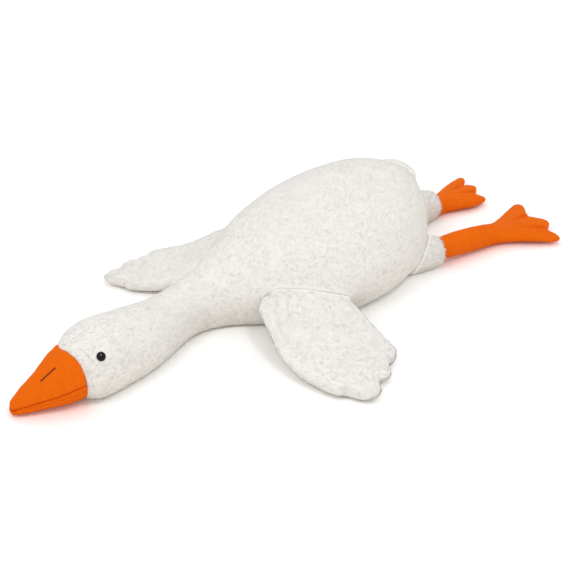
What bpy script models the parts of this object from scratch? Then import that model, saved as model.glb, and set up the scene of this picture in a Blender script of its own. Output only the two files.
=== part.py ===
"""Plush goose lying on its belly: a white stuffed body with neck and head in one cover, two wings,
a tail, two thighs, orange webbed legs, an orange two-part bill, safety eyes and nostril stitches.
Metres, +Z up, floor at z = 0, head towards -Y, feet towards +Y, the goose's left side at +X."""
import math

import bmesh
import bpy
from mathutils import Vector
from mathutils.bvhtree import BVHTree

SEAM_GAP = 0.0003          # space left between neighbouring covers along a seam
LEFT, RIGHT = 1, -1        # the goose's own sides

# Body cover, from the face that the bill is sewn to, back to the rump.
# Each row: station along Y, middle in X, half width, underside, top. The undersides run below the
# floor because the stuffing settles: the floor cuts them off flat.
FACE = (-0.006, -0.545)
BODY_ROWS = [
    (FACE[1], FACE[0], 0.057, 0.004, 0.119),
    (-0.516, -0.004, 0.071, -0.010, 0.133),
    (-0.485, -0.009, 0.075, -0.016, 0.137),
    (-0.440, -0.017, 0.074, -0.018, 0.132),
    (-0.380, -0.024, 0.071, -0.018, 0.117),
    (-0.315, -0.040, 0.060, -0.016, 0.104),
    (-0.250, -0.063, 0.047, -0.014, 0.101),
    (-0.185, -0.068, 0.060, -0.020, 0.112),
    (-0.110, -0.055, 0.117, -0.035, 0.143),
    (-0.020, -0.047, 0.171, -0.045, 0.180),
    (0.080, -0.045, 0.190, -0.050, 0.211),
    (0.180, -0.047, 0.182, -0.050, 0.225),
    (0.265, -0.053, 0.148, -0.045, 0.221),
    (0.320, -0.056, 0.103, -0.025, 0.197),
    (0.360, -0.058, 0.060, 0.006, 0.160),
]
FACE_PEAK = 0.030          # how far forward the cover reaches along the top of the bill
FACE_CHEEK = -0.019        # and how far back it stays along the sides and below
FACE_ARCH = 5              # the higher, the narrower the peak between the two sides
FACE_ROLL = 8.0            # degrees the head lies rolled onto its right side
FACE_SHARES = (1.0, 0.6)   # share of that shaping taken by the first and second row
FLOOR_CUT_DEPTH = 0.08     # how far the floor cutter reaches below the floor

# Wings: rows from the root to the tip in the wing's own plan.
# Each row: reach from the root, back edge, front edge, height of the middle, half thickness.
WING_ROWS = [
    (-0.020, -0.070, 0.092, 0.083, 0.014),
    (0.040, -0.086, 0.110, 0.078, 0.018),
    (0.105, -0.090, 0.131, 0.038, 0.018),
    (0.160, -0.088, 0.132, 0.022, 0.018),
    (0.206, -0.080, 0.123, 0.018, 0.017),
]
# The scalloped tip, back edge to front edge: reach and place across, feather tips and dips in turn.
WING_TIP = [
    (0.210, -0.084), (0.226, -0.068), (0.242, -0.046), (0.234, -0.029), (0.262, -0.024),
    (0.280, 0.000), (0.262, 0.020), (0.290, 0.026), (0.308, 0.056), (0.300, 0.084),
    (0.254, 0.087), (0.264, 0.104), (0.236, 0.115),
]
WING_TIP_HEIGHT = 0.016
WING_TIP_HALF = 0.015
WING_ROOT = {LEFT: (0.060, -0.070), RIGHT: (-0.166, -0.008)}
WING_SWEEP = {LEFT: 0.0, RIGHT: 50.0}      # degrees the wing is drawn forward
# Shares of the full width and of the full reach that each wing lies at, first behind its middle
# line, then in front of it.
WING_SPREAD = {LEFT: (1.0, 1.0), RIGHT: (0.76, 0.84)}
WING_STRETCH = {LEFT: (1.0, 1.0), RIGHT: (0.90, 0.97)}

# Tail: rows along its length, each: reach, half width, half thickness, height of the middle.
TAIL_BASE = (-0.071, 0.282)
TAIL_HEADING = -8.0                         # degrees off +Y, towards the right side
TAIL_ROWS = [
    (0.000, 0.066, 0.030, 0.150),
    (0.035, 0.066, 0.030, 0.155),
    (0.062, 0.056, 0.024, 0.162),
    (0.082, 0.036, 0.016, 0.168),
]

PAD_END_SHARE = 0.16       # the padding of a wing or foot thins over this share of its last row
PAD_END_HALF = 0.004       # half thickness at the very end

# Legs: rows from the top of the shin to the web of the foot, the same for both.
# Each row: reach, half width, half height, height of the middle.
LEG_ROWS = [
    (0.000, 0.0235, 0.0255, 0.0365),
    (0.055, 0.0245, 0.0265, 0.0350),
    (0.120, 0.0255, 0.0260, 0.0300),
    (0.170, 0.0230, 0.0225, 0.0235),
    (0.204, 0.0370, 0.0180, 0.0195),
    (0.244, 0.0600, 0.0155, 0.0170),
]
LEG_COLUMNS = 11           # columns across the leg and foot: three for each toe, one for each web
ANKLE_REACH = 0.180        # where the toes fan out from
# Toes from the -X side to the +X side, each: degrees from the foot's heading, length. The left foot
# lies spread out flat, the right one is slack and drawn together.
TOES = {
    LEFT: ((-33.0, 0.188), (1.0, 0.160), (32.0, 0.153)),
    RIGHT: ((-24.0, 0.179), (-7.0, 0.152), (19.0, 0.129)),
}
TOE_HALF_WIDTH = {LEFT: 0.021, RIGHT: 0.015}
TOE_HALF_HEIGHT = 0.012
TOE_TIP_HEIGHT = 0.013     # height of the middle of the toes, which lie on the floor
WEB_REACH = {LEFT: 0.126, RIGHT: 0.112}    # length of the web between two toes, from the ankle
FOOT_FULLNESS = {LEFT: 1.0, RIGHT: 0.90}   # share of the full width that each foot lies at
LEG_HEADING = {LEFT: 4.0, RIGHT: -9.0}     # degrees off +Y, towards +X
FOOT_TURN = {LEFT: 6.0, RIGHT: 8.0}        # degrees the foot is turned from the shin, towards +X

# Thighs: white sleeves from the rump to the rim that the shin comes out of.
THIGH_ROOT = {LEFT: (0.040, 0.235), RIGHT: (-0.096, 0.290)}
THIGH_RIM = {LEFT: (0.070, 0.332), RIGHT: (-0.096, 0.483)}
LEG_TUCK = {LEFT: 0.018, RIGHT: 0.157}     # how much of the shin is inside the thigh
THIGH_ROOT_HALF = {LEFT: 0.046, RIGHT: 0.052}
THIGH_RIM_HALF = {LEFT: 0.033, RIGHT: 0.035}
THIGH_SHARES = (0.0, 0.4, 0.75, 0.93, 1.0)  # rows of the sleeve, as shares of its length
THIGH_EDGE = 0.86          # the rim itself is drawn in by the stitching to this share

# Bill: rows from inside the face to the tip, each: reach, half width, mouth line, top.
BILL_HEADING = -10.8                        # degrees off -Y, towards +X
BILL_ROWS = [
    (-0.040, 0.052, 0.056, 0.120),
    (-0.012, 0.052, 0.052, 0.124),
    (0.018, 0.047, 0.044, 0.105),
    (0.044, 0.038, 0.036, 0.078),
    (0.070, 0.029, 0.030, 0.059),
    (0.090, 0.021, 0.025, 0.044),
    (0.100, 0.016, 0.022, 0.031),
    (0.108, 0.010, 0.019, 0.025),
]
BILL_UNDERSIDE = 0.002     # height of the lower bill's underside above the floor
BILL_LOWER_SHARE = 0.97    # width of the lower bill as a share of the upper one
# At the face and at the tip: above 1 the bill rises to a ridge, at 1 it is evenly round.
BILL_RIDGE = (1.5, 2.2)
MOUTH_PUFF = 0.005         # how far the stuffing rounds the upper bill below the mouth line

# Safety eyes: a dome on a shank, held behind the cover by a washer.
EYE_SETBACK = 0.0525       # how far the eyes sit behind the middle of the face
EYE_HEIGHT = {LEFT: 0.104, RIGHT: 0.084}   # the right eye is lower, because the head lies rolled
EYE_RADIUS = 0.0088
EYE_DOME = 0.0062          # how far the dome stands out
EYE_SINK = 0.0006          # how far it is drawn into the cover
EYE_RIM_SHARE = 0.97       # radius of the dome's flat back as a share of the dome
EYE_RIM = 0.0005           # height of the edge between the dome and its back
SHANK_RADIUS = 0.0022
SHANK_LENGTH = 0.0120
WASHER_RADIUS = 0.0075
WASHER_THICKNESS = 0.0016
WASHER_DEPTH = 0.0060      # from the back of the dome to the washer
EYE_STEPS = 16

# Nostrils: one long stitch on each side of the bill.
STITCH_RADIUS = 0.0008
STITCH_REACH = (0.023, 0.050)              # where the nostril stitch starts and ends along the bill
# How far out it lies, as a share of the bill's half width: the bill is rolled like the head.
STITCH_ASIDE = {LEFT: 0.45, RIGHT: 0.84}
STITCH_POINTS = 5
SEARCH = 0.3               # how far outside the goose the search for its surface starts

BOX_MIDDLE = (0.0134, 0.0063)               # middle of the overall box in plan, moved to the origin

BODY_LEVELS = 2                             # smoothing of the body
SMALL_LEVELS = 1                            # smoothing of the pieces sewn to it
ROUND = 12                                  # corners in one ring of a soft cage
# A smoothed ring of this many corners ends up inside its cage by this share.
RING_SHRINK = (2 + math.cos(2 * math.pi / ROUND)) / 3

WHITE = (0.86, 0.85, 0.82, 1.0)
ORANGE = (0.90, 0.24, 0.03, 1.0)
BLACK = (0.010, 0.009, 0.010, 1.0)
CLEAR_PLASTIC = (0.75, 0.75, 0.73, 1.0)
BROWN = (0.06, 0.03, 0.02, 1.0)


def clear_scene():
    for old in list(bpy.data.objects):
        bpy.data.objects.remove(old, do_unlink=True)


def collection(name):
    group = bpy.data.collections.new(name)
    bpy.context.scene.collection.children.link(group)
    return group


def material(name, colour, roughness):
    made = bpy.data.materials.new(name)
    made.use_nodes = True
    shader = made.node_tree.nodes["Principled BSDF"]
    shader.inputs["Base Color"].default_value = colour
    shader.inputs["Roughness"].default_value = roughness
    made.diffuse_color = colour
    return made


def add_object(name, mesh, group):
    made = bpy.data.objects.new(name, mesh)
    group.objects.link(made)
    return made


def turned(angle):
    """Unit heading in plan, `angle` degrees from +Y towards +X, and the way to its right."""
    a = math.radians(angle)
    return Vector((math.sin(a), math.cos(a), 0)), Vector((math.cos(a), -math.sin(a), 0))


def rings_to_mesh(name, rings, flat_end=False):
    """Joins equal rings of points into one closed cage and turns its faces outwards.
    The far end of a flat pad is closed by a strip that follows its scallops."""
    bm = bmesh.new()
    loops = [[bm.verts.new(point) for point in ring] for ring in rings]
    count = len(loops[0])
    for near, far in zip(loops, loops[1:]):
        for k in range(count):
            after = (k + 1) % count
            bm.faces.new((near[k], near[after], far[after], far[k]))
    bm.faces.new(reversed(loops[0]))
    if flat_end:
        end = loops[-1]
        for k in range(count // 2):
            corners = [end[k], end[k + 1], end[-k - 1], end[-k]]
            bm.faces.new(dict.fromkeys(corners))
    else:
        bm.faces.new(loops[-1])
    bmesh.ops.recalc_face_normals(bm, faces=bm.faces)
    mesh = bpy.data.meshes.new(name)
    bm.to_mesh(mesh)
    bm.free()
    for face in mesh.polygons:
        face.use_smooth = True
    return mesh


def oval_ring(middle, across, half_width, rise, drop=None, ridge=1.0):
    """One ring of the cage, sized so that the smoothed cover comes out at the stated size.
    It rises and drops by different amounts where `drop` is given."""
    drop = rise if drop is None else drop
    ring = []
    for k in range(ROUND):
        a = 2 * math.pi * k / ROUND
        height = rise * math.sin(a) ** ridge if math.sin(a) > 0 else drop * math.sin(a)
        ring.append(middle + across * (half_width * math.cos(a) / RING_SHRINK)
                    + Vector((0, 0, height / RING_SHRINK)))
    return ring


def pad_ring(columns, halves, height):
    """One ring of a flat pad: plan points from edge to edge, with the half thickness at each."""
    over = [Vector((p.x, p.y, height + t)) for p, t in zip(columns, halves)]
    under = [Vector((p.x, p.y, height - t)) for p, t in zip(columns, halves)]
    return over + under[-2:0:-1]


def pad_end(before, tips, half, height):
    """The last two rings of a flat pad: full thickness close to the tips, then thin at the tips."""
    inner = [tip.lerp(near, PAD_END_SHARE) for tip, near in zip(tips, before)]
    rings = []
    for points, thick in ((inner, half), (tips, PAD_END_HALF)):
        halves = [0.0] + [thick] * (len(points) - 2) + [0.0]
        rings.append(pad_ring(points, halves, height))
    return rings


def soften(made, levels):
    smooth = made.modifiers.new("Soft", "SUBSURF")
    smooth.levels = levels
    smooth.render_levels = levels
    facets = made.modifiers.new("Facets", "TRIANGULATE")
    facets.quad_method = "FIXED"


def cut(made, cutter, name):
    trim = made.modifiers.new(name, "BOOLEAN")
    trim.operation = "DIFFERENCE"
    trim.solver = "EXACT"
    trim.object = cutter


def grown_copy(made, name, group):
    """A cutter that is `made` grown by the seam gap."""
    cutter = add_object(name, made.data, group)
    cutter.matrix_world = made.matrix_world.copy()
    for modifier in made.modifiers:
        if modifier.type in ("SUBSURF", "TRIANGULATE", "SCREW"):
            copied = cutter.modifiers.new(modifier.name, modifier.type)
            for key in ("levels", "render_levels", "quad_method", "steps", "render_steps",
                        "use_merge_vertices", "merge_threshold", "use_normal_calculate",
                        "use_normal_flip"):
                if hasattr(modifier, key):
                    setattr(copied, key, getattr(modifier, key))
    grow = cutter.modifiers.new("Seam gap", "DISPLACE")
    grow.mid_level = 0.0
    grow.strength = SEAM_GAP
    hide_cutter(cutter)
    return cutter


def hide_cutter(cutter):
    cutter.hide_render = True
    cutter.display_type = "WIRE"


def box_cutter(name, low, high, group):
    bm = bmesh.new()
    bmesh.ops.create_cube(bm, size=1.0)
    for vert in bm.verts:
        for axis in range(3):
            vert.co[axis] = low[axis] if vert.co[axis] < 0 else high[axis]
    mesh = bpy.data.meshes.new(name)
    bm.to_mesh(mesh)
    bm.free()
    cutter = add_object(name, mesh, group)
    hide_cutter(cutter)
    return cutter


def body_mesh():
    _, bill_ahead, bill_across = bill_line()
    rings = []
    for y, x, half_width, low, high in BODY_ROWS:
        middle = Vector((x, y, (low + high) / 2))
        rings.append(oval_ring(middle, Vector((1, 0, 0)), half_width, (high - low) / 2))
    for row, share in enumerate(FACE_SHARES):
        y, x, half_width, low, high = BODY_ROWS[row]
        middle = Vector((x, y, (low + high) / 2))
        ring = oval_ring(middle, bill_across, half_width, (high - low) / 2)
        for k, point in enumerate(ring):
            rise = max(0.0, math.sin(2 * math.pi * k / ROUND - math.radians(FACE_ROLL)))
            reach = FACE_CHEEK + (FACE_PEAK - FACE_CHEEK) * rise ** FACE_ARCH
            point += bill_ahead * (share * reach)
        rings[row] = ring
    return rings_to_mesh("body", rings)


def wing_point(side, reach, across):
    """A point of the wing's plan, with the wing swept and drawn together as it lies."""
    sweep = math.radians(WING_SWEEP[side])
    outward = Vector((side * math.cos(sweep), -math.sin(sweep), 0))
    forward = Vector((-side * math.sin(sweep), -math.cos(sweep), 0))
    half = 0 if across < 0 else 1
    aside = outward * (WING_STRETCH[side][half] * reach)
    return Vector((*WING_ROOT[side], 0)) + aside + forward * (WING_SPREAD[side][half] * across)


def wing_mesh(name, side):
    columns = len(WING_TIP)
    rings = []
    for reach, back, front, height, half in WING_ROWS:
        points, halves = [], []
        for k in range(columns):
            share = (1 - math.cos(math.pi * k / (columns - 1))) / 2
            points.append(wing_point(side, reach, back + (front - back) * share))
            halves.append(half * math.sin(math.pi * k / (columns - 1)) ** 0.5 / RING_SHRINK)
        rings.append(pad_ring(points, halves, height))
    tips = [wing_point(side, reach, across) for reach, across in WING_TIP]
    rings += pad_end(points, tips, WING_TIP_HALF, WING_TIP_HEIGHT)
    return rings_to_mesh(name, rings, flat_end=True)


def tail_mesh():
    ahead, across = turned(TAIL_HEADING)
    base = Vector((*TAIL_BASE, 0))
    rings = []
    for reach, half_width, half, height in TAIL_ROWS:
        middle = base + ahead * reach + Vector((0, 0, height))
        rings.append(oval_ring(middle, across, half_width, half))
    return rings_to_mesh("tail", rings)


def thigh_mesh(name, side):
    root, rim = Vector((*THIGH_ROOT[side], 0)), Vector((*THIGH_RIM[side], 0))
    run = rim - root
    across = Vector((run.y, -run.x, 0)).normalized()
    rings = []
    for share in THIGH_SHARES:
        half = THIGH_ROOT_HALF[side] + (THIGH_RIM_HALF[side] - THIGH_ROOT_HALF[side]) * share
        half *= THIGH_EDGE if share == THIGH_SHARES[-1] else 1.0
        middle = root + run * share + Vector((0, 0, THIGH_RIM_HALF[side]))
        rings.append(oval_ring(middle, across, half, half))
    return rings_to_mesh(name, rings)


def leg_mesh(name, side):
    ahead, across = turned(LEG_HEADING[side])
    top = Vector((*THIGH_RIM[side], 0)) - ahead * LEG_TUCK[side]
    foot_ahead, foot_across = turned(LEG_HEADING[side] + FOOT_TURN[side])
    ankle = top + ahead * ANKLE_REACH
    rings = []
    for reach, half_width, half, height in LEG_ROWS:
        beyond = max(0.0, reach - ANKLE_REACH)
        middle = top + ahead * min(reach, ANKLE_REACH) + foot_ahead * beyond
        way = foot_across if beyond > 0 else across
        if beyond > 0:
            half_width *= FOOT_FULLNESS[side]
        rings.append(foot_ring(middle + Vector((0, 0, height)), way, half_width, half))
    tips = toe_tips(ankle, LEG_HEADING[side] + FOOT_TURN[side], side)
    knuckles = foot_columns(middle, foot_across, half_width)
    rings += pad_end(knuckles, tips, TOE_HALF_HEIGHT, TOE_TIP_HEIGHT)
    return rings_to_mesh(name, rings, flat_end=True)


def foot_columns(middle, across, half_width):
    """Plan points in the column order of the toes, from the -X side to the +X side."""
    points = []
    for k in range(LEG_COLUMNS):
        a = math.pi * k / (LEG_COLUMNS - 1)
        points.append(middle - across * (half_width * math.cos(a) / RING_SHRINK))
    return points


def foot_ring(middle, across, half_width, half):
    halves = [half * math.sin(math.pi * k / (LEG_COLUMNS - 1)) / RING_SHRINK for k in range(LEG_COLUMNS)]
    return pad_ring(foot_columns(middle, across, half_width), halves, middle.z)


def toe_tips(ankle, heading, side):
    """Plan points of the tips and sides of the three toes, with the web drawn in between them."""
    points = []
    for toe, (angle, length) in enumerate(TOES[side]):
        if toe:
            between, _ = turned(heading + (angle + TOES[side][toe - 1][0]) / 2)
            points.append(ankle + between * WEB_REACH[side])
        ahead, across = turned(heading + angle)
        tip = ankle + ahead * length
        half = TOE_HALF_WIDTH[side]
        shoulder = tip - ahead * half
        points += [shoulder - across * half, tip, shoulder + across * half]
    return points


def bill_line():
    """Start of the bill, its way forward and the way to its left side."""
    a = math.radians(BILL_HEADING)
    ahead = Vector((math.sin(a), -math.cos(a), 0))
    across = Vector((math.cos(a), math.sin(a), 0))
    return Vector((*FACE, 0)), ahead, across


def bill_upper_mesh():
    start, ahead, across = bill_line()
    rings = []
    for row, (reach, half_width, mouth, top) in enumerate(BILL_ROWS):
        middle = start + ahead * reach + Vector((0, 0, mouth))
        ridge = BILL_RIDGE[0] + (BILL_RIDGE[1] - BILL_RIDGE[0]) * row / (len(BILL_ROWS) - 1)
        rings.append(oval_ring(middle, across, half_width, top - mouth, MOUTH_PUFF, ridge))
    return rings_to_mesh("bill_upper", rings)


def bill_lower_mesh():
    start, ahead, across = bill_line()
    rings = []
    for reach, half_width, mouth, top in BILL_ROWS:
        middle = start + ahead * reach + Vector((0, 0, mouth))
        half_width *= BILL_LOWER_SHARE
        rings.append(oval_ring(middle, across, half_width, 0.0, mouth - BILL_UNDERSIDE))
    return rings_to_mesh("bill_lower", rings)


def surface_of(made):
    """The finished surface of an object, to seat small pieces on."""
    graph = bpy.context.evaluated_depsgraph_get()
    graph.update()
    return BVHTree.FromObject(made, graph)


def profile_mesh(name, points, closed=False):
    edges = [(k, k + 1) for k in range(len(points) - 1)]
    if closed:
        edges.append((len(points) - 1, 0))
    mesh = bpy.data.meshes.new(name)
    mesh.from_pydata([(r, 0, z) for r, z in points], edges, [])
    return mesh


def turn_profile(made, flip=False):
    turn = made.modifiers.new("Turn", "SCREW")
    turn.axis = "Z"
    turn.angle = 2 * math.pi
    turn.steps = EYE_STEPS
    turn.render_steps = EYE_STEPS
    turn.use_merge_vertices = True
    turn.merge_threshold = 0.00005
    turn.use_normal_calculate = True
    turn.use_normal_flip = flip


def eye_profile():
    """Dome and shank, from the top of the dome down its outer side to the end of the shank."""
    points = [(0.0, EYE_DOME)]
    for k in range(1, 7):
        a = math.pi / 2 * k / 6
        points.append((EYE_RADIUS * math.sin(a), EYE_DOME * math.cos(a)))
    points.append((EYE_RADIUS * EYE_RIM_SHARE, -EYE_RIM))
    points.append((SHANK_RADIUS, -EYE_RIM))
    points.append((SHANK_RADIUS, -SHANK_LENGTH))
    points.append((0.0, -SHANK_LENGTH))
    return points


def washer_profile():
    inner = SHANK_RADIUS + SEAM_GAP
    return [
        (inner, -WASHER_THICKNESS), (WASHER_RADIUS, -WASHER_THICKNESS), (WASHER_RADIUS, 0.0),
        (inner, 0.0),
    ]


def nostril_curve(name, side, bill, group):
    """A stitch laid along the slope of the bill, one thread radius proud of it."""
    surface = surface_of(bill)
    start, ahead, across = bill_line()
    curve = bpy.data.curves.new(name, "CURVE")
    curve.dimensions = "3D"
    curve.bevel_depth = STITCH_RADIUS
    curve.bevel_resolution = 2
    curve.use_fill_caps = True
    spline = curve.splines.new("POLY")
    spline.points.add(STITCH_POINTS - 1)
    for k in range(STITCH_POINTS):
        reach = STITCH_REACH[0] + (STITCH_REACH[1] - STITCH_REACH[0]) * k / (STITCH_POINTS - 1)
        half = bill_half_width(reach)
        aside = across * (side * half * STITCH_ASIDE[side])
        above = start + ahead * reach + aside + Vector((0, 0, SEARCH))
        hit, normal, _, _ = surface.ray_cast(above, Vector((0, 0, -1)))
        point = hit + normal * (STITCH_RADIUS + SEAM_GAP * 1.5)
        spline.points[k].co = (*point, 1.0)
    return add_object(name, curve, group)


def bill_half_width(reach):
    for before, after in zip(BILL_ROWS, BILL_ROWS[1:]):
        if before[0] <= reach <= after[0]:
            share = (reach - before[0]) / (after[0] - before[0])
            return before[1] + (after[1] - before[1]) * share
    return BILL_ROWS[-1][1]


def build():
    clear_scene()
    goose = collection("plush goose")
    cutters = collection("cutters")

    floor_cutter = box_cutter("floor_cutter", (-1, -1, -FLOOR_CUT_DEPTH), (1, 1, 0), cutters)

    body = add_object("body", body_mesh(), goose)
    soften(body, BODY_LEVELS)
    body_room = grown_copy(body, "body_room", cutters)

    soft = {}
    for side, word in ((LEFT, "left"), (RIGHT, "right")):
        soft["wing_" + word] = wing_mesh("wing_" + word, side)
        soft["thigh_" + word] = thigh_mesh("thigh_" + word, side)
        soft["leg_" + word] = leg_mesh("leg_" + word, side)
    soft["tail"] = tail_mesh()
    soft["bill_upper"] = bill_upper_mesh()
    soft["bill_lower"] = bill_lower_mesh()
    for name, mesh in soft.items():
        soft[name] = add_object(name, mesh, goose)
        soften(soft[name], SMALL_LEVELS)

    upper_room = grown_copy(soft["bill_upper"], "bill_upper_room", cutters)
    for name, made in soft.items():
        cut(made, body_room, "Seam to body")
    cut(soft["bill_lower"], upper_room, "Mouth")
    for word in ("left", "right"):
        leg_room = grown_copy(soft["leg_" + word], "leg_room_" + word, cutters)
        cut(soft["thigh_" + word], leg_room, "Leg socket")

    surface = surface_of(body)
    start, ahead, across = bill_line()
    for side, word in ((LEFT, "left"), (RIGHT, "right")):
        aside = across * side
        outside = start - ahead * EYE_SETBACK + aside * SEARCH + Vector((0, 0, EYE_HEIGHT[side]))
        hit, normal, _, _ = surface.ray_cast(outside, -aside)
        turn = normal.to_track_quat("Z", "Y").to_matrix().to_4x4()
        eye = add_object("eye_" + word, profile_mesh("eye_" + word, eye_profile()), goose)
        eye.matrix_world = turn.copy()
        eye.location = hit - normal * EYE_SINK
        turn_profile(eye)
        ring = profile_mesh("eye_washer_" + word, washer_profile(), closed=True)
        washer = add_object("eye_washer_" + word, ring, goose)
        washer.matrix_world = turn.copy()
        washer.location = hit - normal * (EYE_SINK + WASHER_DEPTH)
        turn_profile(washer, flip=True)
        bpy.context.view_layer.update()
        cut(body, grown_copy(eye, "eye_room_" + word, cutters), "Eye seat " + word)
        cut(body, grown_copy(washer, "washer_room_" + word, cutters), "Washer seat " + word)

    stitches = [nostril_curve("nostril_stitch_" + word, side, soft["bill_upper"], goose)
                for side, word in ((LEFT, "left"), (RIGHT, "right"))]

    cut(body, floor_cutter, "Belly on the floor")
    for made in soft.values():
        cut(made, floor_cutter, "Underside on the floor")

    for made in bpy.data.objects:
        made.location -= Vector((*BOX_MIDDLE, 0))

    finish = {}
    for made in goose.objects:
        if made.name.startswith(("leg", "bill")):
            finish[made.name] = (ORANGE, 0.85)
        elif made.name.startswith("eye_washer"):
            finish[made.name] = (CLEAR_PLASTIC, 0.45)
        elif made.name.startswith("eye"):
            finish[made.name] = (BLACK, 0.08)
        elif made in stitches:
            finish[made.name] = (BROWN, 0.8)
        else:
            finish[made.name] = (WHITE, 0.95)
    for name, (colour, roughness) in finish.items():
        made = bpy.data.objects[name]
        made.data.materials.append(material(name, colour, roughness))


build()
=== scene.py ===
"""Looks of the plush goose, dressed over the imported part: white plush covers with their pile, the
orange short-pile bill and legs, the safety eyes and the nostril stitches, on a pale studio floor.
Metres, +Z up, floor at z = 0, head towards -Y, feet towards +Y, the goose's left side at +X."""
import math

import bmesh
import bpy
import numpy as np
from mathutils import Matrix, Vector, noise
from mathutils.bvhtree import BVHTree


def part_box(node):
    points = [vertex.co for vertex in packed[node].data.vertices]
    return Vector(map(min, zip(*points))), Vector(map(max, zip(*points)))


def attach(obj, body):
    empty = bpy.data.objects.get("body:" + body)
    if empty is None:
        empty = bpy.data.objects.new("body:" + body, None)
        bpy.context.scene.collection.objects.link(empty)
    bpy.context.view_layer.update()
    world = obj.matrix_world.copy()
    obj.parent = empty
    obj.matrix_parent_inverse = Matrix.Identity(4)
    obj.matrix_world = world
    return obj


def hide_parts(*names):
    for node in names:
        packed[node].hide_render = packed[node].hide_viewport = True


# Camera: where it looks, from which way, how far off and how wide.
AIM = Vector((0.0116, -0.0663, 0.072))
CAMERA_AZIMUTH = 50.0
CAMERA_ELEVATION = 30.0
CAMERA_DISTANCE = 2.53
CAMERA_ANGLE = 25.0

SIDES = ("left", "right")

# Covers: for each soft node, the voxel of its even mesh, rounds of smoothing, how far it starts
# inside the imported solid, and how far its stuffing may swell it.
COVERS = {
    "body": (0.0070, 8, 0.0032, 0.0024),
    "tail": (0.0045, 4, 0.0024, 0.0020),
    "wing_left": (0.0040, 3, 0.0022, 0.0016),
    "wing_right": (0.0040, 3, 0.0022, 0.0016),
    "thigh_left": (0.0042, 4, 0.0022, 0.0018),
    "thigh_right": (0.0042, 4, 0.0022, 0.0018),
    "leg_left": (0.0032, 2, 0.0008, 0.0014),
    "leg_right": (0.0032, 2, 0.0008, 0.0014),
    "bill_upper": (0.0026, 2, 0.0004, 0.0012),
    "bill_lower": (0.0026, 2, 0.0004, 0.0010),
}
# The white nodes; the others are orange.
WHITE = ("body", "tail", "wing_left", "wing_right", "thigh_left", "thigh_right")
# The neighbours that each cover is sewn to and lies tight against.
SEWN_TO = {
    "body": ("tail", "wing_left", "wing_right", "thigh_left", "thigh_right", "bill_upper", "bill_lower"),
    "tail": ("body",),
    "wing_left": ("body",),
    "wing_right": ("body",),
    "thigh_left": ("body", "leg_left"),
    "thigh_right": ("body", "leg_right"),
    "leg_left": ("thigh_left",),
    "leg_right": ("thigh_right",),
    "bill_upper": ("body",),
    "bill_lower": ("body",),
}
SEAM_REACH = 0.012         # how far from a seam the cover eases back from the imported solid
SEAM_HUG = 0.005           # and how far off the solid it can be to be laid on it
# Where each leg goes into its thigh: a point in plan just inside the rim, and the way of the leg.
RIMS = {
    "leg_left": ((0.0562, 0.3215), (0.070, 0.9975)),
    "leg_right": ((-0.1088, 0.4727), (-0.157, 0.988)),
}
STUFFING_PRESSURE = 4.0
STUFFING_FRAMES = 20
DIMPLES = ((0.045, 0.0010), (0.014, 0.0004))   # size and depth of the stuffing's unevenness
FLOOR_CLEARANCE = 0.0008
EYE_PLUG = 0.0095          # radius of the ball that closes the pocket behind an eye
SAME_POINT = 1e-6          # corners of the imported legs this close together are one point
ABOVE = 1.0                # height from which creases are laid on a cover

# Wings as they lie: root in plan, side, degrees drawn forward, and shares of the reach and of the
# width behind the middle line and in front of it.
WINGS = {
    "wing_left": ((0.0466, -0.0763), 1, 0.0, (1.0, 1.0), (1.0, 1.0)),
    "wing_right": ((-0.1794, -0.0143), -1, 50.0, (0.90, 0.97), (0.76, 0.84)),
}
# Creases in a wing: width, then points of reach, place across and depth.
WING_CREASES = (
    (0.014, ((0.022, 0.052, 0.003), (0.045, 0.068, 0.004), (0.067, 0.081, 0.004), (0.087, 0.089, 0.003),
             (0.104, 0.095, 0.002), (0.120, 0.098, 0.0))),
    (0.016, ((0.032, 0.051, 0.002), (0.046, 0.020, 0.003), (0.069, -0.005, 0.003), (0.093, -0.027, 0.002),
             (0.112, -0.042, 0.0))),
    (0.034, ((0.061, 0.046, 0.003), (0.078, 0.018, 0.003), (0.097, -0.006, 0.001))),
    (0.009, ((0.258, -0.014, 0.003), (0.226, -0.005, 0.0))),
    (0.009, ((0.281, 0.030, 0.003), (0.249, 0.036, 0.0))),
    (0.009, ((0.265, 0.089, 0.003), (0.242, 0.078, 0.0))),
)
# Feet: ankle in plan, heading in degrees from +Y towards +X, headings and reach of the webs.
FEET = {
    "leg_left": ((0.0679, 0.4873), 10.0, (-16.0, 16.5), 0.128),
    "leg_right": ((-0.1130, 0.4994), -1.0, (-15.5, 6.0), 0.114),
}
WEB_CREASE = (0.009, 0.0085)                   # width and depth of the valley between two toes
WEB_FADE = ((0.98, 1.0), (0.90, 1.0), (0.80, 0.9), (0.62, 0.5), (0.42, 0.0))
ANKLE_FOLDS = (
    (0.008, ((0.041, -0.016, 0.0), (0.024, 0.008, 0.003), (0.014, 0.026, 0.003))),
    (0.008, ((0.050, 0.000, 0.0), (0.040, 0.016, 0.003), (0.031, 0.033, 0.003))),
)
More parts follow.
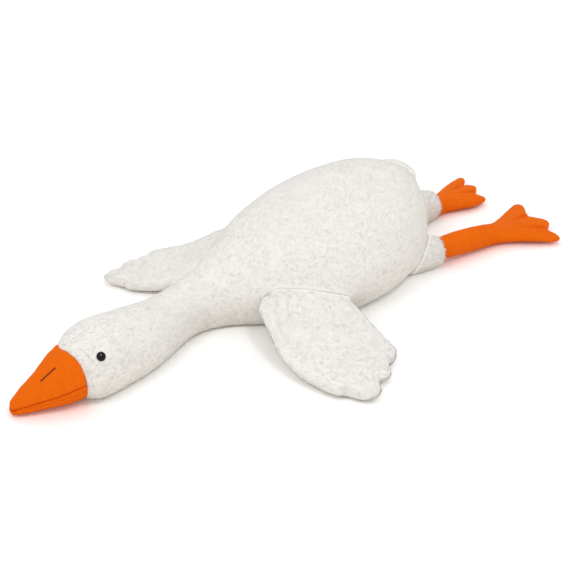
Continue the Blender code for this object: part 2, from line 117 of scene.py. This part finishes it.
# Bill: start and way forward in plan, and the mouth line: reach, half width and height.
BILL_START = Vector((-0.0194, -0.5513, 0.0))
BILL_HEADING = -10.8
MOUTH_LINE = (
    (-0.030, 0.0525, 0.0545), (-0.012, 0.052, 0.052), (0.018, 0.047, 0.044), (0.044, 0.038, 0.036),
    (0.070, 0.029, 0.030), (0.090, 0.021, 0.025), (0.102, 0.012, 0.022), (0.108, 0.0, 0.020),
)
MOUTH_CREASE = (0.0045, 0.0016)
LIP_LINE = (                                   # a second line of stitching round the lower bill
    (-0.030, 0.048, 0.0400), (-0.012, 0.048, 0.0382), (0.010, 0.045, 0.0337), (0.030, 0.040, 0.0297),
    (0.057, 0.031, 0.0236), (0.075, 0.025, 0.0209), (0.097, 0.016, 0.0176), (0.106, 0.0, 0.0160),
)
LIP_CREASE = (0.0046, 0.0026)
BROW_PUFF = (0.022, -0.0035, ((-0.002, -0.022, 0.103), (0.016, -0.026, 0.087), (0.034, -0.025, 0.074)))
STITCH_PUFF = (0.0060, -0.0008)                # the cloth rises round a nostril stitch
STITCH_SINK = (0.0026, 0.0022)                 # and dips under it

# Pile: spacing, width and length of the tufts, and how they lie.
TUFT_SPACING = 0.0026
TUFT_WIDTH = 0.0014
TUFT_LENGTH = 0.0065
TUFT_SPREAD = (0.65, 1.2)  # shares of that length, from the shortest tuft to the longest
TUFT_LEAN = (5.0, 16.0)    # degrees that a tuft stands off the cover
TUFT_SINK = 0.0012         # how deep its root is set in the cover
TUFT_SHADE = 0.035         # how much a tuft's own lean shows in its shading
TUFT_FLOOR = 0.004         # no tuft starts lower than this
SWIRL = (0.04, 0.6)        # size of the swirls in the pile, and how far they turn it
STRAY = 0.2                # how far single tufts stray from the swirl
PILE_PIECES = {            # the pile of each cover, in pieces from head to tail
    "body": (("head_and_neck_pile", -9.0, -0.19), ("shoulder_pile", -0.19, 0.07), ("rump_pile", 0.07, 9.0)),
}
PILE_WAY = {
    "wing_left": Vector((1, 0.1, 0)),
    "wing_right": Vector((-0.75, -0.65, 0)),
}
BACKWARDS = Vector((0, 1, -0.12))
RIM_LENGTH = 0.0095        # the thighs' pile is longer and hangs over the legs
SEAM_TUFTS = 0.0055        # tufts this close to a neighbour lie across the seam
SEAM_PULL = 2.5            # how strongly they turn to it
SEAM_PASS = 0.001          # how far their tips pass it
LOOK_OUT = 0.001           # how far off the cover a tuft looks out for neighbours
EYE_CLEAR = (0.0090, 0.0150)                   # no pile inside the first distance, full beyond the second
EYE_THIN = 0.05            # pile thinner than this beside an eye is left out

# Colours: each fabric where its pile stands up, and deep down between the fibres, where the darker colour is
# painted shade; then the smaller parts.
WHITE_LIGHT = (0.945, 0.925, 0.885, 1)
WHITE_SHADED_DEEP = (0.905, 0.88, 0.84, 1)
ORANGE_LIGHT = (0.90, 0.16, 0.002, 1)
ORANGE_SHADED_DEEP = (0.82, 0.130, 0.0015, 1)
EYE_BLACKS = ((0.002, 0.002, 0.002, 1), (0.006, 0.005, 0.005, 1))
WASHER_MILKS = ((0.66, 0.66, 0.63, 1), (0.8, 0.8, 0.78, 1))
THREAD_BROWNS = ((0.010, 0.003, 0.001, 1), (0.045, 0.015, 0.006, 1))
MIX_A, MIX_B, MIX_OUT = 6, 7, 2                # a Mix node's colour sockets

# Studio: the floor as it lights the goose and as the camera sees it, the strength of the surroundings,
# and each lamp's place, size, power and colour.
FLOOR_SIZE = 60.0
PAPER = (0.95, 0.92, 0.87, 1)
PAPER_SEEN = (1.15, 1.15, 1.15, 1)
ROOM_LIGHT = 0.80
ROOM_SEEN = 1.0
LAMP_AIM = Vector((0, 0, 0.05))
LAMPS = {
    "key": ((0.33, -1.9, 2.4), 0.9, 8.5, (1.0, 0.99, 0.97)),
    "catchlight": ((1.40, -0.35, 2.31), 0.3, 7.5, (1.0, 0.99, 0.97)),
    "overhead": ((-1.0, 1.0, 2.6), 2.4, 6.5, (1.0, 0.985, 0.96)),
    "fill": ((2.2, -1.2, 0.9), 2.0, 0.5, (1.0, 0.99, 0.965)),
}


def linked(name, data):
    """A new object of the scene with this name and data."""
    made = bpy.data.objects.new(name, data)
    bpy.context.scene.collection.objects.link(made)
    return made


def applied(made):
    """Applies every modifier of an object to its mesh."""
    graph = bpy.context.evaluated_depsgraph_get()
    graph.update()
    mesh = bpy.data.meshes.new_from_object(made.evaluated_get(graph))
    made.modifiers.clear()
    old = made.data
    made.data = mesh
    bpy.data.meshes.remove(old)
    for face in mesh.polygons:
        face.use_smooth = True
    return made


def points_of(mesh):
    """The places of a mesh's points, one row each."""
    co = np.empty(len(mesh.vertices) * 3, np.float32)
    mesh.vertices.foreach_get("co", co)
    return co.reshape(-1, 3).astype(float)


def normals_of(mesh):
    """The outward ways of a mesh's points, one row each."""
    normals = np.empty(len(mesh.vertices) * 3, np.float32)
    mesh.vertices.foreach_get("normal", normals)
    return normals.reshape(-1, 3).astype(float)


def set_points(mesh, co):
    """Moves a mesh's points to these places."""
    mesh.vertices.foreach_set("co", co.astype(np.float32).ravel())
    mesh.update()


def surface_of(meshes):
    """One search tree over several meshes."""
    points, faces = [], []
    for mesh in meshes:
        start = len(points)
        points += [vert.co.copy() for vert in mesh.vertices]
        faces += [[start + k for k in face.vertices] for face in mesh.polygons]
    return BVHTree.FromPolygons(points, faces)


def heading(degrees):
    """Unit way in plan, so many degrees from +Y towards +X, and the way to its right."""
    a = math.radians(degrees)
    return Vector((math.sin(a), math.cos(a), 0)), Vector((math.cos(a), -math.sin(a), 0))


# Materials

def group(name, inputs, outputs):
    """A shader node group with named sockets, and its input and output nodes."""
    tree = bpy.data.node_groups.new(name, "ShaderNodeTree")
    for kind, label, value in inputs:
        socket = tree.interface.new_socket(label, in_out="INPUT", socket_type=kind)
        socket.default_value = value
    for kind, label in outputs:
        tree.interface.new_socket(label, in_out="OUTPUT", socket_type=kind)
    return tree, tree.nodes.new("NodeGroupInput"), tree.nodes.new("NodeGroupOutput")


def node(tree, kind, links=None, **values):
    """Adds a node, sets its properties or sockets by name, and links sockets to it."""
    made = tree.nodes.new(kind)
    for key, value in values.items():
        setattr(made, key, value)
    for socket, source in (links or {}).items():
        if hasattr(source, "is_output"):
            tree.links.new(source, made.inputs[socket])
        else:
            made.inputs[socket].default_value = source
    return made


def blend(tree, share, colours):
    """A Mix node from the first of two colours to the second."""
    low, high = colours
    return node(tree, "ShaderNodeMix", {"Factor": share, MIX_A: low, MIX_B: high}, data_type="RGBA")


def pile_group():
    """Uneven pile: patches where it lies differently, clumps, and single fibres. Its colour goes to the deep
    colour partly as random tone and partly as painted shade where the clumps and fibres sink.
    """
    tree, given, out = group(
        "Pile",
        [("NodeSocketColor", "Light Colour", (1, 1, 1, 1)),
         ("NodeSocketColor", "Shaded Deep Colour", (0, 0, 0, 1)),
         ("NodeSocketFloat", "Clump Scale", 90.0), ("NodeSocketFloat", "Fibre Scale", 900.0),
         ("NodeSocketFloat", "Stretch", 0.4)],
        [("NodeSocketColor", "Colour"), ("NodeSocketFloat", "Roughness"), ("NodeSocketFloat", "Height")])
    place = node(tree, "ShaderNodeTexCoord")
    stretch = node(tree, "ShaderNodeCombineXYZ", {0: 1.0, 1: given.outputs["Stretch"], 2: 1.0})
    along = node(tree, "ShaderNodeVectorMath", {0: place.outputs["Object"], 1: stretch.outputs[0]},
                 operation="MULTIPLY")
    patches = node(tree, "ShaderNodeTexNoise",
                   {"Vector": place.outputs["Object"], "Scale": 14.0, "Detail": 2.0})
    clumps = node(tree, "ShaderNodeTexNoise",
                  {"Vector": along.outputs[0], "Scale": given.outputs["Clump Scale"],
                   "Detail": 4.0, "Roughness": 0.6, "Distortion": 0.6})
    fibres = node(tree, "ShaderNodeTexNoise",
                  {"Vector": along.outputs[0], "Scale": given.outputs["Fibre Scale"],
                   "Detail": 3.0, "Roughness": 0.7})
    coarse = node(tree, "ShaderNodeMath", {0: clumps.outputs["Fac"], 1: 0.55}, operation="MULTIPLY")
    mixed = node(tree, "ShaderNodeMath", {0: patches.outputs["Fac"], 1: 0.25, 2: coarse.outputs[0]},
                 operation="MULTIPLY_ADD")
    full = node(tree, "ShaderNodeMath", {0: fibres.outputs["Fac"], 1: 0.2, 2: mixed.outputs[0]},
                operation="MULTIPLY_ADD")
    spread = node(tree, "ShaderNodeMapRange", {"Value": full.outputs[0], "From Min": 0.36, "From Max": 0.62})
    # The deep colour is painted shade: it comes where the clump and fibre noise is low, which is where the
    # bump sinks; the patches add random tone.
    colour = node(tree, "ShaderNodeMix",
                  {"Factor": spread.outputs[0], MIX_A: given.outputs["Shaded Deep Colour"],
                   MIX_B: given.outputs["Light Colour"]}, data_type="RGBA")
    rough = node(tree, "ShaderNodeMapRange", {"Value": spread.outputs[0], "To Min": 0.95, "To Max": 0.8})
    height = node(tree, "ShaderNodeMath", {0: clumps.outputs["Fac"], 1: 0.7, 2: fibres.outputs["Fac"]},
                  operation="MULTIPLY_ADD")
    tree.links.new(colour.outputs[MIX_OUT], out.inputs["Colour"])
    tree.links.new(rough.outputs[0], out.inputs["Roughness"])
    tree.links.new(height.outputs[0], out.inputs["Height"])
    return tree


def fabric(name, pile, light, deep, clump_scale, fibre_scale, stretch, sheen, sheen_tint, bump):
    """A plush fabric: its pile group in a Principled shader with a soft sheen."""
    made = bpy.data.materials.new(name)
    made.use_nodes = True
    tree = made.node_tree
    shader = tree.nodes["Principled BSDF"]
    own = node(tree, "ShaderNodeGroup", node_tree=pile)
    # The deep colour is painted shade between the fibres.
    for label, value in (("Light Colour", light), ("Shaded Deep Colour", deep), ("Clump Scale", clump_scale),
                         ("Fibre Scale", fibre_scale), ("Stretch", stretch)):
        own.inputs[label].default_value = value
    relief = node(tree, "ShaderNodeBump",
                  {"Height": own.outputs["Height"], "Strength": bump, "Distance": 0.002})
    tree.links.new(own.outputs["Colour"], shader.inputs["Base Color"])
    tree.links.new(own.outputs["Roughness"], shader.inputs["Roughness"])
    tree.links.new(relief.outputs[0], shader.inputs["Normal"])
    shader.inputs["Sheen Weight"].default_value = sheen
    shader.inputs["Sheen Roughness"].default_value = 0.6
    shader.inputs["Sheen Tint"].default_value = sheen_tint
    shader.inputs["Specular IOR Level"].default_value = 0.1
    made.diffuse_color = light
    return made


def eye_plastic():
    """Black moulded plastic with a very slight unevenness in its polish."""
    made = bpy.data.materials.new("Eye black plastic")
    made.use_nodes = True
    tree = made.node_tree
    shader = tree.nodes["Principled BSDF"]
    place = node(tree, "ShaderNodeTexCoord")
    haze = node(tree, "ShaderNodeTexNoise",
                {"Vector": place.outputs["Object"], "Scale": 300.0, "Detail": 3.0})
    rough = node(tree, "ShaderNodeMapRange", {"Value": haze.outputs["Fac"], "To Min": 0.06, "To Max": 0.14})
    tint = blend(tree, haze.outputs["Fac"], EYE_BLACKS)
    tree.links.new(tint.outputs[MIX_OUT], shader.inputs["Base Color"])
    tree.links.new(rough.outputs[0], shader.inputs["Roughness"])
    shader.inputs["Specular IOR Level"].default_value = 0.25
    return made


def washer_plastic():
    """Milky moulded plastic of the washers behind the eyes."""
    made = bpy.data.materials.new("Washer plastic")
    made.use_nodes = True
    tree = made.node_tree
    shader = tree.nodes["Principled BSDF"]
    place = node(tree, "ShaderNodeTexCoord")
    cloud = node(tree, "ShaderNodeTexNoise",
                 {"Vector": place.outputs["Object"], "Scale": 400.0, "Detail": 2.0})
    tint = blend(tree, cloud.outputs["Fac"], WASHER_MILKS)
    tree.links.new(tint.outputs[MIX_OUT], shader.inputs["Base Color"])
    shader.inputs["Roughness"].default_value = 0.45
    return made


def thread_material():
    """Dark brown sewing thread, its fibres wound round it."""
    made = bpy.data.materials.new("Nostril thread")
    made.use_nodes = True
    tree = made.node_tree
    shader = tree.nodes["Principled BSDF"]
    place = node(tree, "ShaderNodeTexCoord")
    fibres = node(tree, "ShaderNodeTexNoise",
                  {"Vector": place.outputs["Object"], "Scale": 2600.0, "Detail": 3.0})
    tint = blend(tree, fibres.outputs["Fac"], THREAD_BROWNS)
    relief = node(tree, "ShaderNodeBump",
                  {"Height": fibres.outputs["Fac"], "Strength": 0.5, "Distance": 0.0003})
    tree.links.new(tint.outputs[MIX_OUT], shader.inputs["Base Color"])
    tree.links.new(relief.outputs[0], shader.inputs["Normal"])
    shader.inputs["Roughness"].default_value = 0.75
    return made


# Covers

def leg_part(leg, tucked):
    """The part of a packed leg that is tucked into its thigh, or the part outside, closed at the cut."""
    (x, y), (way_x, way_y) = RIMS[leg]
    bm = bmesh.new()
    bm.from_mesh(packed[leg].data)
    bmesh.ops.remove_doubles(bm, verts=bm.verts, dist=SAME_POINT)
    everything = bm.verts[:] + bm.edges[:] + bm.faces[:]
    cut = bmesh.ops.bisect_plane(bm, geom=everything, plane_co=(x, y, 0), plane_no=(way_x, way_y, 0),
                                 clear_inner=not tucked, clear_outer=tucked)
    rim = [part for part in cut["geom_cut"] if isinstance(part, bmesh.types.BMEdge)]
    bmesh.ops.holes_fill(bm, edges=rim)
    mesh = bpy.data.meshes.new(leg)
    bm.to_mesh(mesh)
    bm.free()
    return mesh


def even_cover(name, voxel, rounds, plugs):
    """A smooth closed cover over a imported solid, with an even mesh that can be stuffed."""
    bm = bmesh.new()
    bm.from_mesh(leg_part(name, False) if name in RIMS else packed[name].data)
    if name.startswith("thigh"):
        bm.from_mesh(leg_part(name.replace("thigh", "leg"), True))
    for place, radius in plugs:
        bmesh.ops.create_uvsphere(bm, u_segments=24, v_segments=16, radius=radius,
                                  matrix=Matrix.Translation(place))
    mesh = bpy.data.meshes.new(name + "_cover")
    bm.to_mesh(mesh)
    bm.free()
    made = linked(name + "_cover", mesh)
    even = made.modifiers.new("Even mesh", "REMESH")
    even.mode = "VOXEL"
    even.voxel_size = voxel
    smooth = made.modifiers.new("Soft", "SMOOTH")
    smooth.factor = 0.5
    smooth.iterations = rounds
    return applied(made)


def nearness(made, neighbours):
    """For each point of a cover: 1 at a seam to a neighbour, falling to 0 at the seam reach."""
    co = points_of(made.data)
    share = np.zeros(len(co))
    for k, point in enumerate(co):
        hit, _, _, gap = neighbours.find_nearest(Vector(point), SEAM_REACH)
        if hit is not None:
            share[k] = 1 - gap / SEAM_REACH
    return share * share * (3 - 2 * share)


def draw_in(made, depth):
    """Moves each point of a cover inwards by its own depth."""
    set_points(made.data, points_of(made.data) - normals_of(made.data) * depth[:, None])


def stuff(covers, near):
    """Swells the covers with their stuffing, all together: cloth under pressure, held at the seams."""
    before = {name: (points_of(made.data), normals_of(made.data)) for name, made in covers.items()}
    for made in covers.values():
        cloth = made.modifiers.new("Stuffing", "CLOTH")
        cloth.settings.use_pressure = True
        cloth.settings.uniform_pressure_force = STUFFING_PRESSURE
        cloth.settings.effector_weights.gravity = 0.0
        cloth.collision_settings.use_collision = False
        cloth.point_cache.frame_start = 1
        cloth.point_cache.frame_end = STUFFING_FRAMES
    for count in range(1, STUFFING_FRAMES + 1):
        bpy.context.scene.frame_set(count)
    for made in covers.values():
        applied(made)
    bpy.context.scene.frame_set(1)
    for name, made in covers.items():
        start, normals = before[name]
        move = points_of(made.data) - start
        move -= normals * np.minimum((move * normals).sum(1), 0)[:, None]
        length = np.maximum(np.linalg.norm(move, axis=1), 1e-9)
        cap = COVERS[name][3] * (1 - near[name])
        set_points(made.data, start + move * np.minimum(1.0, cap / length)[:, None])


def hug_seams(made, source, near):
    """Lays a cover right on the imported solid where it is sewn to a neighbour."""
    solid = surface_of([source.data])
    co = points_of(made.data)
    for k in np.nonzero(near > 0)[0]:
        hit, _, _, _ = solid.find_nearest(Vector(co[k]), SEAM_HUG)
        if hit is not None:
            co[k] += (np.array(hit) - co[k]) * near[k]
    set_points(made.data, co)


def refined(made):
    """Subdivides a cover once, so that it can hold creases."""
    finer = made.modifiers.new("Finer", "SUBSURF")
    finer.levels = 1
    finer.render_levels = 1
    return applied(made)


def crease(made, path, width, depths):
    """Draws a cover in along a path, by the depth at each of its points; a negative depth raises it."""
    co, normals = points_of(made.data), normals_of(made.data)
    best = np.full(len(co), width)
    depth = np.zeros(len(co))
    steps = list(zip(path, depths))
    for (a, deep_a), (b, deep_b) in zip(steps, steps[1:]):
        a, run = np.array(a), np.array(b) - np.array(a)
        t = np.clip((co - a) @ run / (run @ run), 0, 1)
        gap = np.linalg.norm(co - a - t[:, None] * run, axis=1)
        closer = gap < best
        best[closer] = gap[closer]
        depth[closer] = (deep_a + (deep_b - deep_a) * t)[closer]
    share = (1 - (best / width) ** 2) ** 2
    set_points(made.data, co - normals * (share * depth)[:, None])


def crease_from_above(made, plan_points, width):
    """A crease through points given in plan, each with its depth, on the upper side of a cover."""
    top = surface_of([made.data])
    path, depths = [], []
    for x, y, depth in plan_points:
        hit, _, _, _ = top.ray_cast(Vector((x, y, ABOVE)), Vector((0, 0, -1)))
        if hit is not None:
            path.append(hit)
            depths.append(depth)
    crease(made, path, width, depths)


def crease_wing(made, name):
    """The creases of one wing, laid out along its own reach and width."""
    root, side, sweep, stretch, spread = WINGS[name]
    a = math.radians(sweep)
    outward = Vector((side * math.cos(a), -math.sin(a)))
    forward = Vector((-side * math.sin(a), -math.cos(a)))
    for width, points in WING_CREASES:
        plan = []
        for reach, across, depth in points:
            half = 0 if across < 0 else 1
            place = Vector(root) + outward * (reach * stretch[half]) + forward * (across * spread[half])
            plan.append((place.x, place.y, depth))
        crease_from_above(made, plan, width)


def crease_foot(made, name):
    """The valleys of the webs between the toes, and the slack folds at the ankle."""
    ankle, turn, webs, reach = FEET[name]
    base = Vector((*ankle, 0))
    width, depth = WEB_CREASE
    for web in webs:
        way, _ = heading(turn + web)
        plan = [(base + way * (reach * far), depth * deep) for far, deep in WEB_FADE]
        crease_from_above(made, [(p.x, p.y, d) for p, d in plan], width)
    ahead, across = heading(turn)
    for width, points in ANKLE_FOLDS:
        plan = [(base + ahead * r + across * c, d) for r, c, d in points]
        crease_from_above(made, [(p.x, p.y, d) for p, d in plan], width)


def on_bill(reach, across, height):
    """A point of the bill from its reach ahead, its place across and its height."""
    a = math.radians(BILL_HEADING)
    plan = Vector((math.sin(a), -math.cos(a), 0)) * reach + Vector((math.cos(a), math.sin(a), 0)) * across
    return BILL_START + plan + Vector((0, 0, height))


def crease_bill(made, line, width, depth):
    """A crease round the bill from one cheek to the other."""
    path = [on_bill(r, h, z) for r, h, z in line]
    path += [on_bill(r, -h, z) for r, h, z in reversed(line[:-1])]
    crease(made, path, width, [depth] * len(path))


def puff_brow(made):
    """The bill stands a little fuller on its right side where it meets the forehead."""
    width, depth, points = BROW_PUFF
    crease(made, [on_bill(*place) for place in points], width, [depth, depth, depth * 0.4])


def seat_stitch(made, stitch):
    """Puffs the bill up round a nostril stitch, so that the thread lies drawn into it."""
    co = points_of(stitch.data)
    middle = co.mean(axis=0)
    run = np.linalg.svd(co - middle, full_matrices=False)[2][0]
    along = (co - middle) @ run
    path = [middle + run * along.min(), middle + run * along.max()]
    for width, depth in (STITCH_PUFF, STITCH_SINK):
        crease(made, path, width, [depth, depth])


def uneven(made, seed):
    """The unevenness of stuffing under cloth."""
    co, normals = points_of(made.data), normals_of(made.data)
    shift = np.zeros(len(co))
    for size, depth in DIMPLES:
        for k, point in enumerate(co):
            shift[k] += depth * noise.noise(Vector(point) / size + Vector((seed, 0, 0)))
    set_points(made.data, co + normals * shift[:, None])


def rest_on_floor(made):
    """Lifts what lies lower than the floor's clearance up to it."""
    co = points_of(made.data)
    co[:, 2] = np.maximum(co[:, 2], FLOOR_CLEARANCE)
    set_points(made.data, co)


def shape_cover(made, name, near, seed):
    """Everything that is done to a stuffed cover: its seams, creases, unevenness and rest."""
    hug_seams(made, packed[name], near)
    refined(made)
    if name in WINGS:
        crease_wing(made, name)
    if name in FEET:
        crease_foot(made, name)
    if name.startswith("bill"):
        crease_bill(made, MOUTH_LINE, *MOUTH_CREASE)
    if name == "bill_lower":
        crease_bill(made, LIP_LINE, *LIP_CREASE)
    if name == "bill_upper":
        puff_brow(made)
        for word in SIDES:
            seat_stitch(made, packed["nostril_stitch_" + word])
    uneven(made, seed)
    rest_on_floor(made)


# Pile

def scattered(mesh, low, high, draw):
    """Points spread evenly over the part of a cover between two stations along Y, and their normals."""
    mesh.calc_loop_triangles()
    co, normals = points_of(mesh), normals_of(mesh)
    corners = np.array([t.vertices[:] for t in mesh.loop_triangles])
    a, b, c = (co[corners[:, k]] for k in range(3))
    area = np.linalg.norm(np.cross(b - a, c - a), axis=1) / 2
    station = (a[:, 1] + b[:, 1] + c[:, 1]) / 3
    area[(station < low) | (station >= high)] = 0.0
    count = int(area.sum() / TUFT_SPACING ** 2)
    pick = draw.choice(len(area), count, p=area / area.sum())
    u, v = draw.random(count), draw.random(count)
    flip = u + v > 1
    u[flip], v[flip] = 1 - u[flip], 1 - v[flip]
    w = 1 - u - v
    root = a[pick] * w[:, None] + b[pick] * u[:, None] + c[pick] * v[:, None]
    up = sum(normals[corners[pick, k]] * s[:, None] for k, s in enumerate((w, u, v)))
    return root, up / np.linalg.norm(up, axis=1)[:, None]


def buried(root, up, others):
    """Which tufts would start inside a neighbour: the first cover that they look out at is its inside."""
    inside = np.zeros(len(root), bool)
    for k, (place, way) in enumerate(zip(root + up * LOOK_OUT, up)):
        hit, face, _, _ = others.ray_cast(Vector(place), Vector(way))
        inside[k] = hit is not None and face.dot(Vector(way)) > 0
    return inside


def seamward(root, up, others):
    """For tufts close to a seam: the way to the neighbour along the cover, and the gap to it."""
    way, gap = np.zeros_like(root), np.full(len(root), np.inf)
    for k, place in enumerate(root):
        hit, _, _, far = others.find_nearest(Vector(place), SEAM_TUFTS)
        if hit is not None:
            way[k], gap[k] = np.array(hit) - place, far
    way -= up * (way * up).sum(1)[:, None]
    way /= np.maximum(np.linalg.norm(way, axis=1)[:, None], 1e-6)
    return way, gap


def pile_mesh(name, made, low, high, way, length, seed, others, white_others, eyes):
    """Pile over a cover: thin three-sided tufts, closed at the tip, that lie along `way`."""
    draw = np.random.default_rng(seed)
    root, up = scattered(made.data, low, high, draw)
    clear = np.ones(len(root))
    for eye in eyes:
        gap = np.linalg.norm(root - np.array(eye), axis=1)
        clear = np.minimum(clear, (gap - EYE_CLEAR[0]) / (EYE_CLEAR[1] - EYE_CLEAR[0]))
    keep = (root[:, 2] > TUFT_FLOOR) & (clear > EYE_THIN)
    keep[keep] = ~buried(root[keep], up[keep], others)
    root, up, clear = root[keep], up[keep], clear[keep]
    count = len(root)
    lie = np.tile(np.array(way), (count, 1))
    lie -= up * (lie * up).sum(1)[:, None]
    lie /= np.maximum(np.linalg.norm(lie, axis=1)[:, None], 1e-6)
    swirl_size, swirl_turn = SWIRL
    swirl = np.array([noise.noise(Vector(p) / swirl_size + Vector((0, 0, 7.0))) for p in root])
    turn = swirl * swirl_turn + draw.normal(0, STRAY, count)
    along = lie * np.cos(turn)[:, None] + np.cross(up, lie) * np.sin(turn)[:, None]
    to_seam, gap = seamward(root, up, white_others)
    along += to_seam * SEAM_PULL
    along /= np.maximum(np.linalg.norm(along, axis=1)[:, None], 1e-6)
    lean = np.radians(draw.uniform(*TUFT_LEAN, count))
    reach = np.minimum(length * draw.uniform(*TUFT_SPREAD, count) * clear, gap + SEAM_PASS)
    tip = root + (along * np.cos(lean)[:, None] + up * np.sin(lean)[:, None]) * reach[:, None]
    tip[:, 2] = np.maximum(tip[:, 2], FLOOR_CLEARANCE)
    across = np.cross(up, along)
    base = root - up * TUFT_SINK
    half = TUFT_WIDTH / 2
    ring = [base + across * half, base - across * half, base + up * half]
    points = np.stack(ring + [tip], 1).reshape(-1, 3)
    index = np.arange(count) * 4
    sides = ((1, 0), (0, 2), (2, 1))
    faces = np.concatenate([np.stack([index + p, index + q, index + 3], 1) for p, q in sides])
    mesh = bpy.data.meshes.new(name)
    mesh.from_pydata(points.tolist(), [], faces.tolist())
    for face in mesh.polygons:
        face.use_smooth = True
    soft = up + along * TUFT_SHADE
    soft /= np.linalg.norm(soft, axis=1)[:, None]
    mesh.normals_split_custom_set_from_vertices(np.repeat(soft, 4, axis=0).tolist())
    return mesh


# Scene

def studio():
    """Pale floor, white surroundings and the square lamps."""
    bpy.ops.mesh.primitive_plane_add(size=FLOOR_SIZE)
    floor = bpy.context.object
    floor.name = "floor"
    paper = bpy.data.materials.new("Studio paper")
    paper.use_nodes = True
    tree = paper.node_tree
    shader = tree.nodes["Principled BSDF"]
    shader.inputs["Roughness"].default_value = 1.0
    shader.inputs["Specular IOR Level"].default_value = 0.0
    light = node(tree, "ShaderNodeLightPath")
    seen = blend(tree, light.outputs["Is Camera Ray"], (PAPER, PAPER_SEEN))
    tree.links.new(seen.outputs[MIX_OUT], shader.inputs["Base Color"])
    floor.data.materials.append(paper)

    world = bpy.data.worlds.new("Studio")
    world.use_nodes = True
    sky = world.node_tree.nodes["Background"]
    path = node(world.node_tree, "ShaderNodeLightPath")
    seen = node(world.node_tree, "ShaderNodeMapRange",
                {"Value": path.outputs["Is Camera Ray"], "To Min": ROOM_LIGHT, "To Max": ROOM_SEEN})
    sky.inputs["Color"].default_value = (1, 1, 1, 1)
    world.node_tree.links.new(seen.outputs[0], sky.inputs["Strength"])
    bpy.context.scene.world = world

    for name, (place, size, power, tint) in LAMPS.items():
        lamp = bpy.data.lights.new(name, "AREA")
        lamp.shape = "SQUARE"
        lamp.size = size
        lamp.energy = power
        lamp.color = tint
        holder = linked(name, lamp)
        holder.location = place
        holder.rotation_euler = (LAMP_AIM - Vector(place)).to_track_quat("-Z", "Y").to_euler()


def camera():
    """The camera at the photograph's angle."""
    azimuth, elevation = math.radians(CAMERA_AZIMUTH), math.radians(CAMERA_ELEVATION)
    ahead = Vector((-math.sin(azimuth) * math.cos(elevation), math.cos(azimuth) * math.cos(elevation),
                    -math.sin(elevation)))
    lens = bpy.data.cameras.new("camera")
    lens.lens_unit = "FOV"
    lens.angle = math.radians(CAMERA_ANGLE)
    made = linked("camera", lens)
    made.location = AIM - ahead * CAMERA_DISTANCE
    made.rotation_euler = ahead.to_track_quat("-Z", "Y").to_euler()
    bpy.context.scene.camera = made


def finish_piece(made, material, slot_name, *nodes):
    """Gives a piece its material, and rides it on the goose in place of the nodes it covers."""
    made.data.materials.clear()
    made.data.materials.append(material)
    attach(made, "root")
    if nodes:
        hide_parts(*nodes)


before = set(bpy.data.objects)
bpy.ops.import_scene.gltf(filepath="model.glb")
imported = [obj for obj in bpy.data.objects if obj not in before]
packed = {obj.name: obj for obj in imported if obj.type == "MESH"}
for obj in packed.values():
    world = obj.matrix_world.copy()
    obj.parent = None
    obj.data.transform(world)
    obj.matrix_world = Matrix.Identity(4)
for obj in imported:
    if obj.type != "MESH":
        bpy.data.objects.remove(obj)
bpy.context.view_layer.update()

studio()
camera()
bpy.context.scene.view_settings.view_transform = "Standard"

pile = pile_group()
white_plush = fabric("White plush", pile, WHITE_LIGHT, WHITE_SHADED_DEEP, clump_scale=85.0, fibre_scale=700.0,
                     stretch=0.45, sheen=0.1, sheen_tint=(1, 1, 1, 1), bump=0.12)
orange_plush = fabric("Orange plush", pile, ORANGE_LIGHT, ORANGE_SHADED_DEEP, clump_scale=160.0,
                      fibre_scale=1500.0, stretch=0.6, sheen=0.04, sheen_tint=(1.0, 0.3, 0.05, 1), bump=0.2)
black = eye_plastic()
milky = washer_plastic()
thread = thread_material()

eyes, plugs = [], []
for word in SIDES:
    low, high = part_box("eye_washer_" + word)
    plugs.append(((low + high) / 2, EYE_PLUG))
    low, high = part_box("eye_" + word)
    eyes.append((low + high) / 2)

covers, near = {}, {}
for name, (voxel, rounds, inset, swell) in COVERS.items():
    made = even_cover(name, voxel, rounds, plugs if name == "body" else ())
    neighbours = [packed[other].data for other in SEWN_TO[name]]
    if name == "body":
        neighbours += [packed["eye_left"].data, packed["eye_right"].data]
    near[name] = nearness(made, surface_of(neighbours))
    draw_in(made, inset * (1 - near[name]))
    covers[name] = made
stuff(covers, near)

for seed, (name, made) in enumerate(covers.items()):
    shape_cover(made, name, near[name], seed)
    finish_piece(made, white_plush if name in WHITE else orange_plush,
                 "white_plush" if name in WHITE else "orange_plush", name)

seed = 0
for name in WHITE:
    others = surface_of([covers[other].data for other in covers if other != name])
    white_others = surface_of([covers[other].data for other in WHITE if other != name])
    way = PILE_WAY.get(name, BACKWARDS)
    length = RIM_LENGTH if name.startswith("thigh") else TUFT_LENGTH
    for piece, low, high in PILE_PIECES.get(name, ((name + "_pile", -9.0, 9.0),)):
        seed += 1
        mesh = pile_mesh(piece, covers[name], low, high, way, length, seed, others,
                         white_others, eyes if name == "body" else ())
        finish_piece(linked(piece, mesh), white_plush, "white_plush")

for word in SIDES:
    for prefix, material in (("eye_", black), ("eye_washer_", milky), ("nostril_stitch_", thread)):
        shown = packed[prefix + word]
        shown.data.materials.clear()
        shown.data.materials.append(material)
